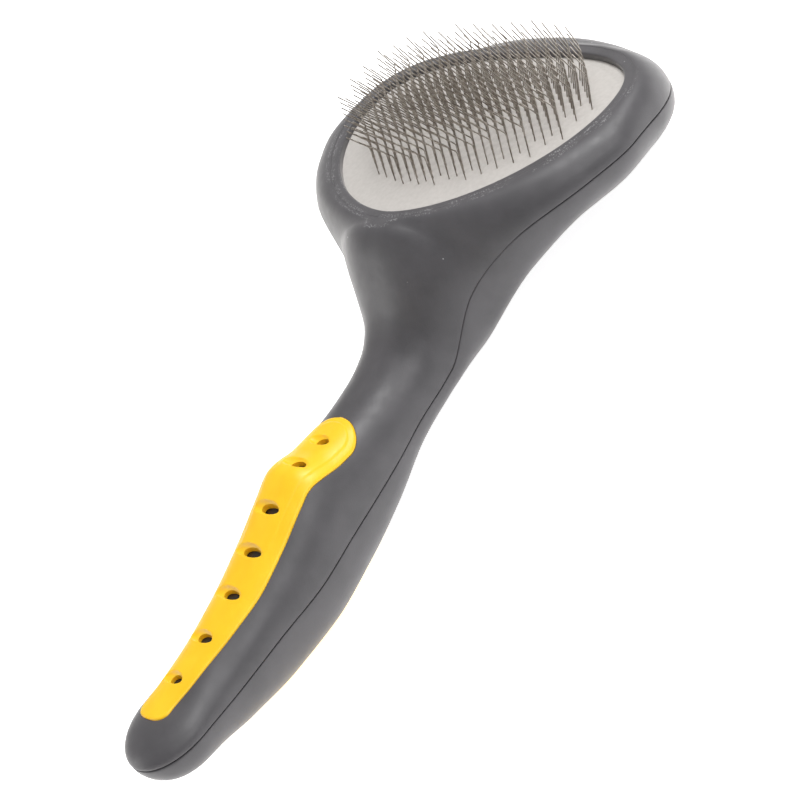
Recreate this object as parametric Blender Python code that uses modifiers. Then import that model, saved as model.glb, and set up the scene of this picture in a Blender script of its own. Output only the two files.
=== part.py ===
"""Slicker brush lying on its back: two soft skins over rigid cores, grip inserts, bent-pin pad."""
import math

import bmesh
import bpy
import numpy as np
from mathutils import Matrix

# The body is drawn in the pad frame: x runs from the handle's tip to the head's far end,
# the rim of the pad opening lies in the plane z = 0, and the body is symmetric about y = 0.
TIP_X = -0.1776
FAR_X = 0.032
TIP_CAP = 0.0143
FAR_CAP = 0.030
BACK_CAP = 0.018

HALF_WIDTH = (
    (-0.177, 0.0120), (-0.165, 0.0120), (-0.150, 0.0112), (-0.135, 0.0120), (-0.118, 0.0137),
    (-0.103, 0.0139), (-0.085, 0.0130), (-0.072, 0.0125), (-0.059, 0.0134), (-0.046, 0.0215),
    (-0.033, 0.0390), (-0.020, 0.0495), (-0.007, 0.0545), (0.005, 0.0532), (0.032, 0.0518),
)
FRONT_HEIGHT = (
    (-0.177, -0.0410), (-0.165, -0.0412), (-0.150, -0.0395), (-0.135, -0.0365), (-0.120, -0.0320),
    (-0.110, -0.0278), (-0.103, -0.0253), (-0.095, -0.0272), (-0.085, -0.0279), (-0.073, -0.0269),
    (-0.064, -0.0242), (-0.058, -0.0188), (-0.053, -0.0087), (-0.049, -0.0026), (-0.045, 0.0),
    (0.032, 0.0),
)
SEAM_HEIGHT = (
    (-0.177, -0.0465), (-0.165, -0.0464), (-0.150, -0.0473), (-0.135, -0.0465), (-0.120, -0.0454),
    (-0.103, -0.0427), (-0.085, -0.0407), (-0.073, -0.0385), (-0.058, -0.0354), (-0.046, -0.0204),
    (-0.033, -0.0090), (-0.020, -0.0068), (-0.007, -0.0061), (0.005, -0.0073), (0.018, -0.0090),
    (0.032, -0.0110),
)
BACK_HEIGHT = (
    (-0.177, -0.0575), (-0.165, -0.0562), (-0.150, -0.0596), (-0.135, -0.0615), (-0.120, -0.0608),
    (-0.103, -0.0574), (-0.088, -0.0530), (-0.073, -0.0468), (-0.060, -0.0440), (-0.046, -0.0420),
    (-0.033, -0.0295), (-0.020, -0.0230), (-0.007, -0.0232), (0.008, -0.0240), (0.032, -0.0240),
)
GRIP_ROUNDNESS = 2.2
RIM_ROUNDNESS = 2.0
BACK_GRIP_ROUNDNESS = 2.4
BACK_HEAD_ROUNDNESS = 2.2
TOP_FLAT_SHARE = 0.10
SEAM_GAP = 0.0003
SEAM_LAND = 0.0010

# Egg-shaped opening: pointed towards the handle, blunt at the far end.
OPENING_HALF_WIDTH = 0.0449
OPENING_NEAR = 0.0394
OPENING_FAR = 0.0206
EGG_NEAR_POWER = 1.77
EGG_FAR_POWER = 2.7
RIM_LAND = 0.0030
EGG_SIDES = 40

SKIN_THICKNESS = 0.0012
CORE_THICKNESS = 0.0012
CORE_SETBACK = 0.0017
CORE_OPENING_GROWTH = 0.0016
PIECE_GAP = 0.0003

# Pad pack: heights below the rim plane, and growth of each outline beyond the opening.
PAD_TOP = -0.0019
PAD_FACE_THICKNESS = 0.0010
LAYER_GAP = 0.0002
FOUNDATION_THICKNESS = 0.0008
CROWN_HEIGHT = 0.0005
CUSHION_THICKNESS = 0.0030
TRAY_FLOOR_THICKNESS = 0.0015
LAYER_GROWTH = 0.0008
TRAY_WALL_THICKNESS = 0.0010
TRAY_RIM_DROP = 0.0012
POST_RADIUS = 0.0035
POST_CLEARANCE = 0.0014
POST_PLACES = ((-0.026, 0.0), (0.006, -0.024), (0.006, 0.024))

# Pins: staples of two legs, set in rows across the head; each row steps along by a third.
PIN_RADIUS = 0.00024
FIELD_HALF_WIDTH = 0.0376
FIELD_NEAR = 0.0286
FIELD_FAR = 0.0148
FIRST_ROW_X = -0.0276
ROW_SPACING = 0.00216
ROW_COUNT = 20
STAPLE_PITCH = 0.0062
STAPLE_LEG_SPACING = 0.0042
STAPLE_START = 0.0034
STAPLE_STEP = 0.4
ROW_FAN = 0.0085
EVEN_ROW = 7
PIN_LOWER_RISE = 0.0070
PIN_UPPER_RISE = 0.0065
PIN_LOWER_LEAN = 0.48
PIN_UPPER_LEAN = -0.42
PIN_SPLAY = 0.22
PIN_LOWER_FAN = 1.0
PIN_UPPER_FAN = 3.0
CROWN_WIDTH = 0.0014
SPINE_WIDTH = 0.0008
PIN_FOOT_DEPTH = 0.0002
SPINE_BELOW_FACE = 0.0001
ROW_END_ROOM = 0.0005
SLIT_WIDTH = 0.0011

# Grip inserts: outlines as half width along the handle.
FRONT_INSERT_START = -0.1672
FRONT_INSERT_END = -0.083
FRONT_INSERT_NEAR_EDGE = (
    (-0.1672, 0.0032), (-0.162, 0.0034), (-0.157, 0.0042), (-0.151, 0.0050), (-0.141, 0.0066),
    (-0.129, 0.0081), (-0.118, 0.0084), (-0.107, 0.0087), (-0.101, 0.0094), (-0.083, 0.0097),
)
FRONT_INSERT_FAR_EDGE = (
    (-0.1672, 0.0082), (-0.155, 0.0080), (-0.141, 0.0082), (-0.118, 0.0087), (-0.101, 0.0080),
    (-0.083, 0.0084),
)
FRONT_INSERT_EDGES = (FRONT_INSERT_FAR_EDGE, FRONT_INSERT_NEAR_EDGE)
FRONT_INSERT_CAPS = ((0.0035, 2.4), (0.0085, 2.0))
FRONT_INSERT_RAISE = 0.0004
BACK_INSERT_START = -0.158
BACK_INSERT_END = -0.088
BACK_INSERT_EDGE = ((-0.158, 0.0066), (-0.123, 0.0080), (-0.088, 0.0074))
BACK_INSERT_EDGES = (BACK_INSERT_EDGE, BACK_INSERT_EDGE)
BACK_INSERT_CAPS = ((0.008, 2.0), (0.008, 2.0))
INSERT_INNER_DEPTH = 0.0010
INSERT_STATIONS = 14
PRISM_TOP = 0.0
PRISM_BOTTOM = -0.080
# Slots: place along the handle, place across it, half width of the hole.
SLOTS = (
    (-0.1560, 0.0022, 0.0023), (-0.1447, 0.0011, 0.0029), (-0.1332, 0.0002, 0.0031),
    (-0.1226, 0.0, 0.0035), (-0.1124, -0.0005, 0.0034), (-0.1004, -0.0022, 0.0025),
    (-0.0915, -0.0015, 0.0022),
)
SLOT_HALF_LENGTH = 0.0011

# The brush lies on the back of its head and of its handle.
REST_PITCH = math.radians(15.5)
REST_LIFT = 0.0269
REST_SHIFT = 0.0777


def smooth_curve(knots, x):
    """Cubic through the knots that never overshoots them."""
    knot_x, knot_y = np.array(knots).T
    step = np.diff(knot_x)
    slope = np.diff(knot_y) / step
    before, after = slope[:-1], slope[1:]
    same_way = before * after > 0
    mean = 2 * before * after / np.where(same_way, before + after, 1.0)
    tangent = np.concatenate([slope[:1], np.where(same_way, mean, 0.0), slope[-1:]])
    i = np.clip(np.searchsorted(knot_x, x) - 1, 0, len(step) - 1)
    t = (x - knot_x[i]) / step[i]
    rise = knot_y[i] * (1 + 2 * t) * (1 - t) ** 2 + knot_y[i + 1] * t ** 2 * (3 - 2 * t)
    return rise + step[i] * (tangent[i] * t * (1 - t) ** 2 + tangent[i + 1] * t ** 2 * (t - 1))


def ease(t):
    t = min(max(t, 0.0), 1.0)
    return t * t * (3 - 2 * t)


def cap_factor(distance, reach, power):
    """1 away from an end, falling along a superellipse to 0 at the end."""
    share = min(max(distance / reach, 0.0), 1.0)
    return max(1 - (1 - share) ** power, 0.0) ** (1 / power)


def egg_half_width(x, growth):
    """Half width at x of the opening's outline grown outward by growth."""
    near = OPENING_NEAR + growth
    far = OPENING_FAR + growth
    share = -x / near if x < 0 else x / far
    power = EGG_NEAR_POWER if x < 0 else EGG_FAR_POWER
    if share >= 1:
        return 0.0
    return (OPENING_HALF_WIDTH + growth) * (1 - share ** power) ** (1 / power)


def egg_outline(growth):
    """Points round the opening's outline grown outward by growth."""
    points = []
    for i in range(EGG_SIDES):
        angle = 2 * math.pi * (i + 0.5) / EGG_SIDES
        across = math.cos(angle)
        along = math.sin(angle)
        power = EGG_NEAR_POWER if along < 0 else EGG_FAR_POWER
        reach = OPENING_NEAR if along < 0 else OPENING_FAR
        y = (OPENING_HALF_WIDTH + growth) * math.copysign(abs(across) ** (2 / power), across)
        x = (reach + growth) * math.copysign(abs(along) ** (2 / power), along)
        points.append((x, y))
    return points


def body_measures(x):
    """Half width, crest half width, roundness, and the four heights of the section at x."""
    tip = cap_factor(x - TIP_X, TIP_CAP, 2.0)
    half = float(smooth_curve(HALF_WIDTH, x)) * tip * cap_factor(FAR_X - x, FAR_CAP, 2.3)
    crest = max(egg_half_width(x, RIM_LAND), TOP_FLAT_SHARE * half)
    seam = float(smooth_curve(SEAM_HEIGHT, x))
    front = float(smooth_curve(FRONT_HEIGHT, x))
    past_rim = (x - OPENING_FAR - RIM_LAND) / (FAR_X - OPENING_FAR - RIM_LAND)
    if past_rim > 0:
        front = seam * (1 - max(1 - past_rim ** 2.2, 0.0) ** (1 / 2.2))
    back = float(smooth_curve(BACK_HEIGHT, x))
    front_foot = seam + SEAM_GAP / 2 + SEAM_LAND
    back_foot = seam - SEAM_GAP / 2 - SEAM_LAND
    front_rise = max(front - front_foot, 0.0) * tip
    back_drop = max(back_foot - back, 0.0) * tip * cap_factor(FAR_X - x, BACK_CAP, 2.2)
    head_share = ease((x + 0.075) / 0.035)
    roundness = GRIP_ROUNDNESS + (RIM_ROUNDNESS - GRIP_ROUNDNESS) * head_share
    back_round = BACK_GRIP_ROUNDNESS + (BACK_HEAD_ROUNDNESS - BACK_GRIP_ROUNDNESS) * head_share
    return half, crest, roundness, back_round, front_foot, front_rise, back_foot, back_drop


def front_height(x, y):
    """Height of the front surface above the point (x, y)."""
    half, crest, roundness, _, foot, rise, _, _ = body_measures(x)
    share = max(abs(y) - crest, 0.0) / (half - crest)
    return foot + rise * max(1 - share ** roundness, 0.0) ** (1 / roundness)


def back_height(x, y):
    """Height of the back surface below the point (x, y)."""
    half, _, _, roundness, _, _, foot, drop = body_measures(x)
    return foot - drop * max(1 - (abs(y) / half) ** roundness, 0.0) ** (1 / roundness)


def flatten_at_rest(point):
    """Points that would sink under the surface the brush lies on are lifted onto it."""
    x, y, z = point
    sunk = -x * math.sin(REST_PITCH) + z * math.cos(REST_PITCH) + REST_LIFT
    if sunk >= 0:
        return point
    return (x + sunk * math.sin(REST_PITCH), y, z - sunk * math.cos(REST_PITCH))


def front_side(x, steps):
    """One side of the front section, from the seam to the crest."""
    half, crest, roundness, _, foot, rise, _, _ = body_measures(x)
    points = [(x, half, foot - SEAM_LAND)]
    for i in range(steps + 1):
        angle = math.pi / 2 * i / steps
        y = crest + (half - crest) * max(math.cos(angle), 0.0) ** (2 / roundness)
        z = foot + rise * math.sin(angle) ** (2 / roundness)
        points.append((x, y, z))
    return points


def back_side(x, steps):
    """One side of the back section, from the seam to just beside the middle."""
    half, _, _, roundness, _, _, foot, drop = body_measures(x)
    points = [(x, half, foot + SEAM_LAND)]
    for i in range(steps):
        angle = math.pi / 2 * i / steps
        y = half * max(math.cos(angle), 0.0) ** (2 / roundness)
        z = foot - drop * math.sin(angle) ** (2 / roundness)
        points.append((x, y, z))
    return points


def row_positions():
    """Places along the body where its sections are taken, close together at both ends."""
    tip = [TIP_X + TIP_CAP * (1 - math.cos(math.radians(a))) for a in (22, 44, 66)]
    grip = [-0.163, -0.152, -0.141, -0.130, -0.119, -0.111, -0.1035, -0.096, -0.088, -0.078, -0.068]
    neck = list(np.linspace(-0.061, -0.043, 6))
    head = list(np.linspace(-0.036, 0.017, 7))
    far = [FAR_X - 0.0115 * (1 - math.cos(math.radians(a))) for a in (84, 63, 43, 24)]
    return tip + grip + neck + head + far


def half_body_mesh(name, side, middle_height, seam_height):
    """Open surface of one body half, lofted through its sections, closed at both ends."""
    rows = row_positions()
    mesh = bmesh.new()
    grid = []
    for x in rows:
        right = side(x)
        left = [(px, -py, pz) for px, py, pz in reversed(right)]
        section = right + [(x, 0.0, middle_height(x))] + left
        grid.append([mesh.verts.new(flatten_at_rest(point)) for point in section])
    for i in range(len(rows) - 1):
        for j in range(len(grid[0]) - 1):
            mesh.faces.new((grid[i][j], grid[i + 1][j], grid[i + 1][j + 1], grid[i][j + 1]))
    for x, row, outward in ((TIP_X, grid[0], False), (FAR_X, grid[-1], True)):
        seam_z, land_z = seam_height(x)
        seam_end = mesh.verts.new((x, 0.0, seam_z))
        land_end = mesh.verts.new((x, 0.0, land_z))
        faces = [(row[0], seam_end, land_end, row[1]), (row[-2], land_end, seam_end, row[-1])]
        faces += [(row[j], land_end, row[j + 1]) for j in range(1, len(row) - 2)]
        for face in faces:
            mesh.faces.new(face if outward else tuple(reversed(face)))
    data = bpy.data.meshes.new(name)
    mesh.to_mesh(data)
    mesh.free()
    return data


def front_half_mesh(name):
    def seam_height(x):
        foot = body_measures(x)[4]
        return foot - SEAM_LAND, foot

    def middle_height(x):
        return front_height(x, 0.0)

    data = half_body_mesh(name, lambda x: front_side(x, 4), middle_height, seam_height)
    data.flip_normals()
    return data


def back_half_mesh(name):
    def seam_height(x):
        foot = body_measures(x)[6]
        return foot + SEAM_LAND, foot

    def middle_height(x):
        return back_height(x, 0.0)

    return half_body_mesh(name, lambda x: back_side(x, 5), middle_height, seam_height)


def material(name, colour, roughness, metallic=0.0):
    made = bpy.data.materials.new(name)
    made.use_nodes = True
    shader = made.node_tree.nodes["Principled BSDF"]
    shader.inputs["Base Color"].default_value = (*colour, 1.0)
    shader.inputs["Roughness"].default_value = roughness
    shader.inputs["Metallic"].default_value = metallic
    return made


def add_object(name, data, collection, finish=None):
    made = bpy.data.objects.new(name, data)
    collection.objects.link(made)
    if finish is not None:
        data.materials.append(finish)
    return made


def add_cutter(name, data):
    cutter = add_object(name, data, bpy.data.collections["cutters"])
    cutter.hide_render = True
    cutter.display_type = "WIRE"
    return cutter


def add_boolean(target, cutter, operation):
    boolean = target.modifiers.new(cutter.name, "BOOLEAN")
    boolean.operation = operation
    boolean.solver = "EXACT"
    boolean.object = cutter


def add_solidify(target, thickness):
    """Wall grown inward from an open surface."""
    solidify = target.modifiers.new("wall", "SOLIDIFY")
    solidify.thickness = thickness
    solidify.offset = -1.0
    solidify.use_even_offset = True


def add_displace(target, distance):
    displace = target.modifiers.new("set_off", "DISPLACE")
    displace.strength = distance
    displace.mid_level = 0.0


def shade_smooth(target):
    for polygon in target.data.polygons:
        polygon.use_smooth = True


def plate_mesh(name, outline, top):
    """One flat face with the given outline, facing up."""
    mesh = bmesh.new()
    corners = [mesh.verts.new((x, y, top)) for x, y in outline]
    face = mesh.faces.new(corners)
    face.normal_update()
    if face.normal.z < 0:
        face.normal_flip()
    data = bpy.data.meshes.new(name)
    mesh.to_mesh(data)
    mesh.free()
    return data


def add_plate(name, growth, top, bottom, collection, finish):
    """Egg-shaped plate between two heights."""
    plate = add_object(name, plate_mesh(name, egg_outline(growth), top), collection, finish)
    add_solidify(plate, top - bottom)
    return plate


def add_plate_cutter(name, growth, top, bottom):
    cutter = add_cutter(name, plate_mesh(name, egg_outline(growth), top))
    add_solidify(cutter, top - bottom)
    return cutter


def insert_edges(x, start, end, edges, caps, growth):
    """Places of an insert's edges on the +y side and the -y side at x."""
    (low_reach, low_power), (high_reach, high_power) = caps
    low = cap_factor(x - start + growth, low_reach + growth, low_power)
    high = cap_factor(end + growth - x, high_reach + growth, high_power)
    far = float(smooth_curve(edges[0], x))
    near = float(smooth_curve(edges[1], x))
    middle = (far - near) / 2
    half = ((far + near) / 2 + growth) * low * high
    return middle + half, middle - half


def insert_outline(start, end, edges, caps, growth):
    """Points round a grip insert's outline grown outward by growth."""
    far_side = []
    near_side = []
    for i in range(1, INSERT_STATIONS):
        share = (1 - math.cos(math.pi * i / INSERT_STATIONS)) / 2
        x = start - growth + (end - start + 2 * growth) * share
        far, near = insert_edges(x, start, end, edges, caps, growth)
        far_side.append((x, far))
        near_side.append((x, near))
    first = (start - growth, sum(insert_edges(start - growth, start, end, edges, caps, growth)) / 2)
    last = (end + growth, sum(insert_edges(end + growth, start, end, edges, caps, growth)) / 2)
    return [first] + far_side + [last] + near_side[::-1]


def add_insert_prism(name, start, end, edges, caps, growth):
    """Column with an insert's outline, as tall as the handle."""
    outline = insert_outline(start, end, edges, caps, growth)
    prism = add_cutter(name, plate_mesh(name, outline, PRISM_TOP))
    add_solidify(prism, PRISM_TOP - PRISM_BOTTOM)
    return prism


def slot_cutter():
    """Seven elliptical columns standing in a row along the handle."""
    mesh = bmesh.new()
    for x, across, half_width in SLOTS:
        place = Matrix.Translation((x, across, front_height(x, across)))
        place = place @ Matrix.Diagonal((SLOT_HALF_LENGTH, half_width, 1.0, 1.0))
        bmesh.ops.create_cone(mesh, cap_ends=True, segments=10, radius1=1.0, radius2=1.0,
                              depth=0.008, matrix=place)
    data = bpy.data.meshes.new("slot_cutter")
    mesh.to_mesh(data)
    mesh.free()
    return add_cutter("slot_cutter", data)


def row_x(row):
    return FIRST_ROW_X + ROW_SPACING * row


def row_legs(row):
    """Places across the head of the pins of one row; later rows are spread wider."""
    x = row_x(row)
    reach = FIELD_NEAR if x < 0 else FIELD_FAR
    limit = FIELD_HALF_WIDTH * math.sqrt(1 - (x / reach) ** 2)
    start = STAPLE_START + (row % 5) * STAPLE_PITCH * STAPLE_STEP
    spread = 1 + ROW_FAN * (row - EVEN_ROW)
    legs = []
    for k in range(-8, 9):
        first = start + k * STAPLE_PITCH
        for y in (first * spread, (first - STAPLE_LEG_SPACING) * spread):
            if abs(y) <= limit:
                legs.append(y)
    return sorted(legs)


def pin_splay(x, y):
    """Outward lean of a pin along the head, which grows towards the border of the field."""
    reach = FIELD_NEAR if x < 0 else FIELD_FAR
    along = x / reach
    across = y / FIELD_HALF_WIDTH
    distance = math.hypot(along, across)
    slope_x = along / reach
    slope_y = across / FIELD_HALF_WIDTH
    length = max(math.hypot(slope_x, slope_y), 1e-9)
    return PIN_SPLAY * distance ** 3 * slope_x / length


def crown_top():
    return PAD_TOP - PAD_FACE_THICKNESS - FOUNDATION_THICKNESS - 2 * LAYER_GAP


def pin_path(x, y):
    """Foot, knee and tip of a bent pin."""
    outward = pin_splay(x, y)
    lean_x = PIN_LOWER_LEAN + outward
    lean_y = PIN_LOWER_FAN * y
    foot = (x - PIN_FOOT_DEPTH * lean_x, y - PIN_FOOT_DEPTH * lean_y,
            PAD_TOP - SPINE_BELOW_FACE - PIN_FOOT_DEPTH)
    knee = (x + PIN_LOWER_RISE * lean_x, y + PIN_LOWER_RISE * lean_y,
            PAD_TOP - SPINE_BELOW_FACE + PIN_LOWER_RISE)
    tip = (knee[0] + PIN_UPPER_RISE * (PIN_UPPER_LEAN + outward),
           knee[1] + PIN_UPPER_RISE * PIN_UPPER_FAN * y, knee[2] + PIN_UPPER_RISE)
    return foot, knee, tip


def pins_mesh(name, row):
    """Three-sided bent wires of one row, each ending in a point."""
    mesh = bmesh.new()
    x = row_x(row)
    for y in row_legs(row):
        foot, knee, tip = pin_path(x, y)
        rings = []
        for centre in (foot, knee):
            ring = []
            for k in range(3):
                angle = 2 * math.pi * k / 3
                ring.append(mesh.verts.new((centre[0] + PIN_RADIUS * math.cos(angle),
                                            centre[1] + PIN_RADIUS * math.sin(angle), centre[2])))
            rings.append(ring)
        low, high = rings
        point = mesh.verts.new(tip)
        mesh.faces.new(list(reversed(low)))
        for k in range(3):
            n = (k + 1) % 3
            mesh.faces.new((low[k], low[n], high[n], high[k]))
            mesh.faces.new((high[k], high[n], point))
    data = bpy.data.meshes.new(name)
    mesh.to_mesh(data)
    mesh.free()
    return data


def crown_mesh(name, row):
    """Bar shaped like a T upside down: a foot under the foundation and a spine in the slit."""
    x = row_x(row)
    legs = row_legs(row)
    bottom = crown_top() - CROWN_HEIGHT
    spine_top = PAD_TOP - SPINE_BELOW_FACE
    right_side = [(CROWN_WIDTH / 2, bottom), (CROWN_WIDTH / 2, crown_top()),
                  (SPINE_WIDTH / 2, crown_top()), (SPINE_WIDTH / 2, spine_top)]
    profile = right_side + [(-across, z) for across, z in reversed(right_side)]
    mesh = bmesh.new()
    ends = []
    for y in (legs[0] - ROW_END_ROOM, legs[-1] + ROW_END_ROOM):
        ends.append([mesh.verts.new((x + across, y, z)) for across, z in profile])
    start, finish = ends
    mesh.faces.new(start)
    mesh.faces.new(list(reversed(finish)))
    for k in range(len(profile)):
        n = (k + 1) % len(profile)
        mesh.faces.new((start[n], start[k], finish[k], finish[n]))
    data = bpy.data.meshes.new(name)
    mesh.to_mesh(data)
    mesh.free()
    return data


def boxes_mesh(name, boxes):
    """Separate boxes, each given by its low and high corner."""
    mesh = bmesh.new()
    for low, high in boxes:
        middle = [(a + b) / 2 for a, b in zip(low, high)]
        size = [b - a for a, b in zip(low, high)]
        place = Matrix.Translation(middle) @ Matrix.Diagonal((*size, 1.0))
        bmesh.ops.create_cube(mesh, size=1.0, matrix=place)
    data = bpy.data.meshes.new(name)
    mesh.to_mesh(data)
    mesh.free()
    return data


def add_front_skin(collection, finish, opening, recess):
    skin = add_object("front_skin", front_half_mesh("front_skin"), collection, finish)
    shade_smooth(skin)
    add_solidify(skin, SKIN_THICKNESS)
    add_boolean(skin, opening, "DIFFERENCE")
    add_boolean(skin, recess, "DIFFERENCE")


def add_back_skin(collection, finish, recess):
    skin = add_object("back_skin", back_half_mesh("back_skin"), collection, finish)
    shade_smooth(skin)
    add_solidify(skin, SKIN_THICKNESS)
    add_boolean(skin, recess, "DIFFERENCE")


def add_front_core(collection, finish, opening):
    core = add_object("front_core", front_half_mesh("front_core"), collection, finish)
    shade_smooth(core)
    add_displace(core, -CORE_SETBACK)
    add_solidify(core, CORE_THICKNESS)
    add_boolean(core, opening, "DIFFERENCE")


def add_back_core(collection, finish):
    core = add_object("back_core", back_half_mesh("back_core"), collection, finish)
    shade_smooth(core)
    add_displace(core, -CORE_SETBACK)
    add_solidify(core, CORE_THICKNESS)


def front_prism(name, growth):
    return add_insert_prism(name, FRONT_INSERT_START, FRONT_INSERT_END, FRONT_INSERT_EDGES,
                            FRONT_INSERT_CAPS, growth)


def back_prism(name, growth):
    return add_insert_prism(name, BACK_INSERT_START, BACK_INSERT_END, BACK_INSERT_EDGES,
                            BACK_INSERT_CAPS, growth)


def add_front_insert(collection, finish):
    """Piece of the handle's front surface, standing slightly proud of the skin."""
    insert = add_object("front_grip_insert", front_half_mesh("front_grip_insert"), collection,
                        finish)
    shade_smooth(insert)
    add_displace(insert, FRONT_INSERT_RAISE)
    add_solidify(insert, FRONT_INSERT_RAISE + INSERT_INNER_DEPTH)
    add_boolean(insert, front_prism("front_insert_outline", 0.0), "INTERSECT")
    add_boolean(insert, slot_cutter(), "DIFFERENCE")


def add_back_insert(collection, finish):
    insert = add_object("back_grip_insert", back_half_mesh("back_grip_insert"), collection,
                        finish)
    shade_smooth(insert)
    add_solidify(insert, INSERT_INNER_DEPTH)
    add_boolean(insert, back_prism("back_insert_outline", 0.0), "INTERSECT")


def add_pad_layers(collection, finishes):
    """Rubber face, woven foundation, foam cushion and the tray that holds them."""
    slits = []
    for row in range(ROW_COUNT):
        legs = row_legs(row)
        x = row_x(row)
        reach = ROW_END_ROOM + LAYER_GAP
        slits.append(((x - SLIT_WIDTH / 2, legs[0] - reach, crown_top()),
                      (x + SLIT_WIDTH / 2, legs[-1] + reach, PAD_TOP + 0.001)))
    slit_cutter = add_cutter("slit_cutter", boxes_mesh("slit_cutter", slits))
    face_bottom = PAD_TOP - PAD_FACE_THICKNESS
    face = add_plate("pad_face", LAYER_GROWTH, PAD_TOP, face_bottom, collection,
                     finishes["face"])
    add_boolean(face, slit_cutter, "DIFFERENCE")
    foundation_top = face_bottom - LAYER_GAP
    foundation = add_plate("pad_foundation", LAYER_GROWTH, foundation_top,
                           foundation_top - FOUNDATION_THICKNESS, collection,
                           finishes["foundation"])
    add_boolean(foundation, slit_cutter, "DIFFERENCE")
    cushion_top = crown_top() - CROWN_HEIGHT - LAYER_GAP
    cushion_bottom = cushion_top - CUSHION_THICKNESS
    add_plate("pad_cushion", LAYER_GROWTH, cushion_top, cushion_bottom, collection,
              finishes["foam"])
    add_tray(collection, finishes["tray"], cushion_bottom - PIECE_GAP)


def add_tray(collection, finish, floor_top):
    """Dish under the pad layers, standing on three posts."""
    growth = LAYER_GROWTH + PIECE_GAP + TRAY_WALL_THICKNESS
    floor_bottom = floor_top - TRAY_FLOOR_THICKNESS
    tray = add_plate("pad_tray", growth, PAD_TOP - TRAY_RIM_DROP, floor_bottom, collection, finish)
    hollow = add_plate_cutter("tray_hollow", LAYER_GROWTH + PIECE_GAP, PAD_TOP + 0.002, floor_top)
    add_boolean(tray, hollow, "DIFFERENCE")
    mesh = bmesh.new()
    wall = CORE_SETBACK + CORE_THICKNESS
    for x, y in POST_PLACES:
        end = back_height(x, y) + wall + POST_CLEARANCE
        top = floor_bottom + TRAY_FLOOR_THICKNESS / 2
        bmesh.ops.create_cone(mesh, cap_ends=True, segments=12, radius1=POST_RADIUS,
                              radius2=POST_RADIUS, depth=top - end,
                              matrix=Matrix.Translation((x, y, (top + end) / 2)))
    data = bpy.data.meshes.new("tray_posts")
    mesh.to_mesh(data)
    mesh.free()
    add_boolean(tray, add_cutter("tray_posts", data), "UNION")


def add_pin_rows(collection, finish):
    """Each row of pins stands on a thin bar held under the foundation."""
    for row in range(ROW_COUNT):
        name = f"pin_row_{row + 1:02d}"
        bar = add_object(name, crown_mesh(name, row), collection, finish)
        pins = add_cutter(f"{name}_wires", pins_mesh(f"{name}_wires", row))
        add_boolean(bar, pins, "UNION")


def lay_on_back():
    """Hang every piece on one empty that turns the brush from the pad frame to its rest."""
    rest = bpy.data.objects.new("rest_pose", None)
    for piece in list(bpy.data.objects):
        if piece is not rest:
            piece.parent = rest
    bpy.context.scene.collection.objects.link(rest)
    rest.location = (REST_SHIFT, 0.0, REST_LIFT)
    rest.rotation_euler = (0.0, REST_PITCH, 0.0)


def build():
    for old in list(bpy.data.objects):
        bpy.data.objects.remove(old, do_unlink=True)
    collection = bpy.data.collections.new("slicker_brush")
    cutters = bpy.data.collections.new("cutters")
    for made in (collection, cutters):
        bpy.context.scene.collection.children.link(made)
    front_rubber = material("front_soft_rubber", (0.115, 0.110, 0.118), 0.55)
    back_rubber = material("back_soft_rubber", (0.150, 0.145, 0.152), 0.55)
    front_plastic = material("front_core_plastic", (0.045, 0.043, 0.046), 0.5)
    back_plastic = material("back_core_plastic", (0.052, 0.050, 0.053), 0.5)
    front_yellow = material("front_insert_yellow", (0.90, 0.62, 0.05), 0.4)
    back_yellow = material("back_insert_yellow", (0.86, 0.58, 0.05), 0.4)
    pad_finishes = {
        "face": material("pad_rubber", (0.62, 0.59, 0.56), 0.7),
        "foundation": material("woven_foundation", (0.52, 0.45, 0.36), 0.9),
        "foam": material("cushion_foam", (0.30, 0.30, 0.32), 0.95),
        "tray": material("tray_plastic", (0.08, 0.08, 0.085), 0.5),
    }
    steel = material("pin_steel", (0.42, 0.38, 0.34), 0.3, metallic=1.0)

    opening = add_plate_cutter("opening_cutter", 0.0, 0.004, -0.006)
    core_opening = add_plate_cutter("core_opening_cutter", CORE_OPENING_GROWTH, 0.004, -0.006)
    add_front_skin(collection, front_rubber, opening, front_prism("front_recess", PIECE_GAP))
    add_back_skin(collection, back_rubber, back_prism("back_recess", PIECE_GAP))
    add_front_core(collection, front_plastic, core_opening)
    add_back_core(collection, back_plastic)
    add_front_insert(collection, front_yellow)
    add_back_insert(collection, back_yellow)
    add_pad_layers(collection, pad_finishes)
    add_pin_rows(collection, steel)
    lay_on_back()


build()
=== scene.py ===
"""Slicker brush lying on its back: soft skins, yellow grips, cushioned pad and bent wire staples."""
import math
import random
from collections import namedtuple

import bpy
import numpy as np
from mathutils import Matrix, Vector

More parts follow.
